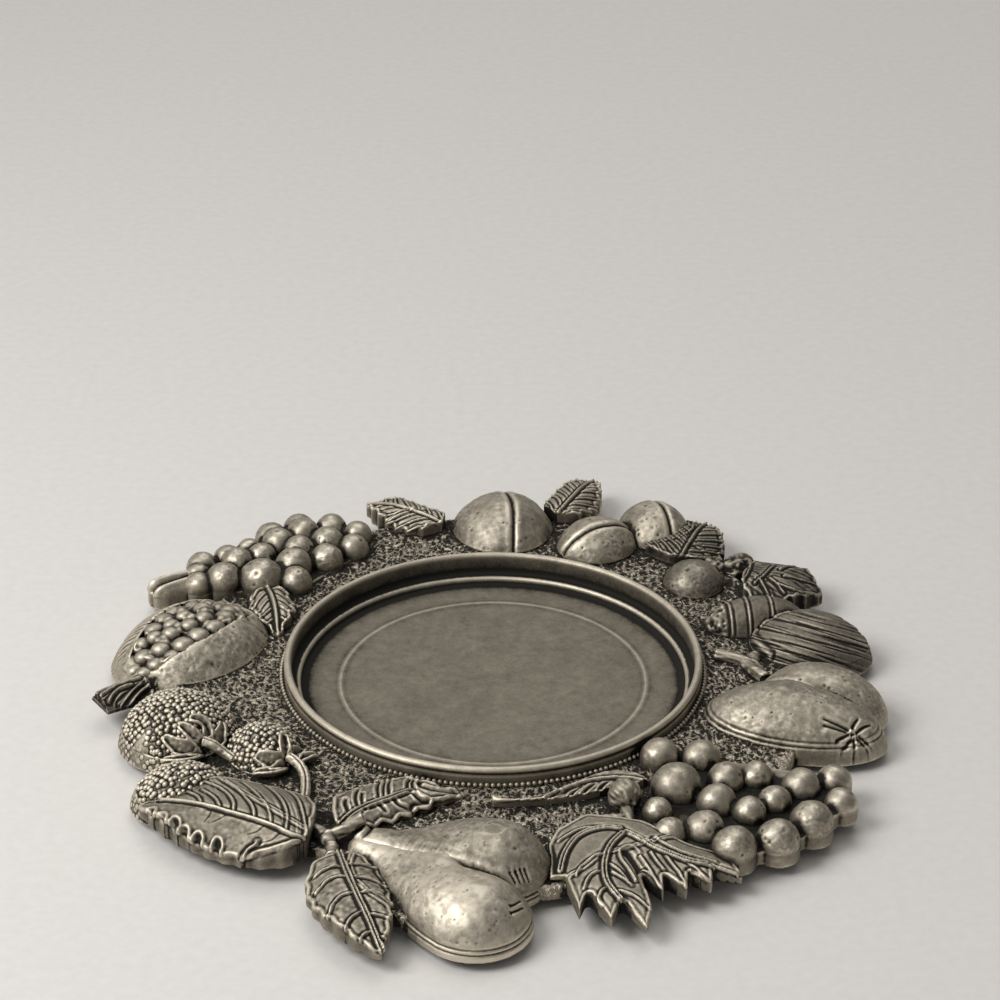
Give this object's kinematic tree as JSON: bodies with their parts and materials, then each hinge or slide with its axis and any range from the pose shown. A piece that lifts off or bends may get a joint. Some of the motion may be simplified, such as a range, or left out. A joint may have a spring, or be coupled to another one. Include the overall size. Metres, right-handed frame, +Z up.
{
  "type": "wine bottle coaster",
  "caption": "Round pewter coaster for a wine bottle: a collared dish ringed by a relief garland of fruit, nuts and leaves.",
  "frame": {"origin": "on the dish's axis, at the table under the felt pad", "axes": "+Z up along the dish's axis; -Y towards the viewer of the picture, where the pears lie; +X to the right"},
  "size_m": [0.1693, 0.1869, 0.0142],
  "materials": {
    "antiqued_pewter": "cast relief, blackened in the recesses and rubbed bright on the highs",
    "turned_pewter": "turned and polished, lightly toned",
    "felt": "pressed felt"
  },
  "bodies": {
    "root": {"dish": "turned_pewter", "ground_plate": "antiqued_pewter", "beaded_wire": "antiqued_pewter", "pear_upper": "antiqued_pewter", "pear_lower": "antiqued_pewter", "pear_twig": "antiqued_pewter", "large_leaf": "antiqued_pewter", "small_leaf": "antiqued_pewter", "feather_leaf": "antiqued_pewter", "strawberry_large": "antiqued_pewter", "strawberry_small": "antiqued_pewter", "strawberry_third": "antiqued_pewter", "strawberry_large_calyx": "antiqued_pewter", "strawberry_small_calyx": "antiqued_pewter", "pomegranate": "antiqued_pewter", "pomegranate_seeds": "antiqued_pewter", "pomegranate_crown": "antiqued_pewter", "grapes_back": "antiqued_pewter", "grape_leaf_back": "antiqued_pewter", "grape_bud": "antiqued_pewter", "peach": "antiqued_pewter", "peach_leaf_left": "antiqued_pewter", "peach_leaf_right": "antiqued_pewter", "plum_inner": "antiqued_pewter", "plum_outer": "antiqued_pewter", "plum_leaf": "antiqued_pewter", "apple": "antiqued_pewter", "berries": "antiqued_pewter", "round_leaf": "antiqued_pewter", "acorn": "antiqued_pewter", "almond": "antiqued_pewter", "nut_twig": "antiqued_pewter", "quince_front": "antiqued_pewter", "quince_back": "antiqued_pewter", "grapes_front": "antiqued_pewter", "vine_leaf": "antiqued_pewter", "vine_twig": "antiqued_pewter", "tendril_leaf": "antiqued_pewter", "felt_pad": "felt"}
  },
  "joints": []
}
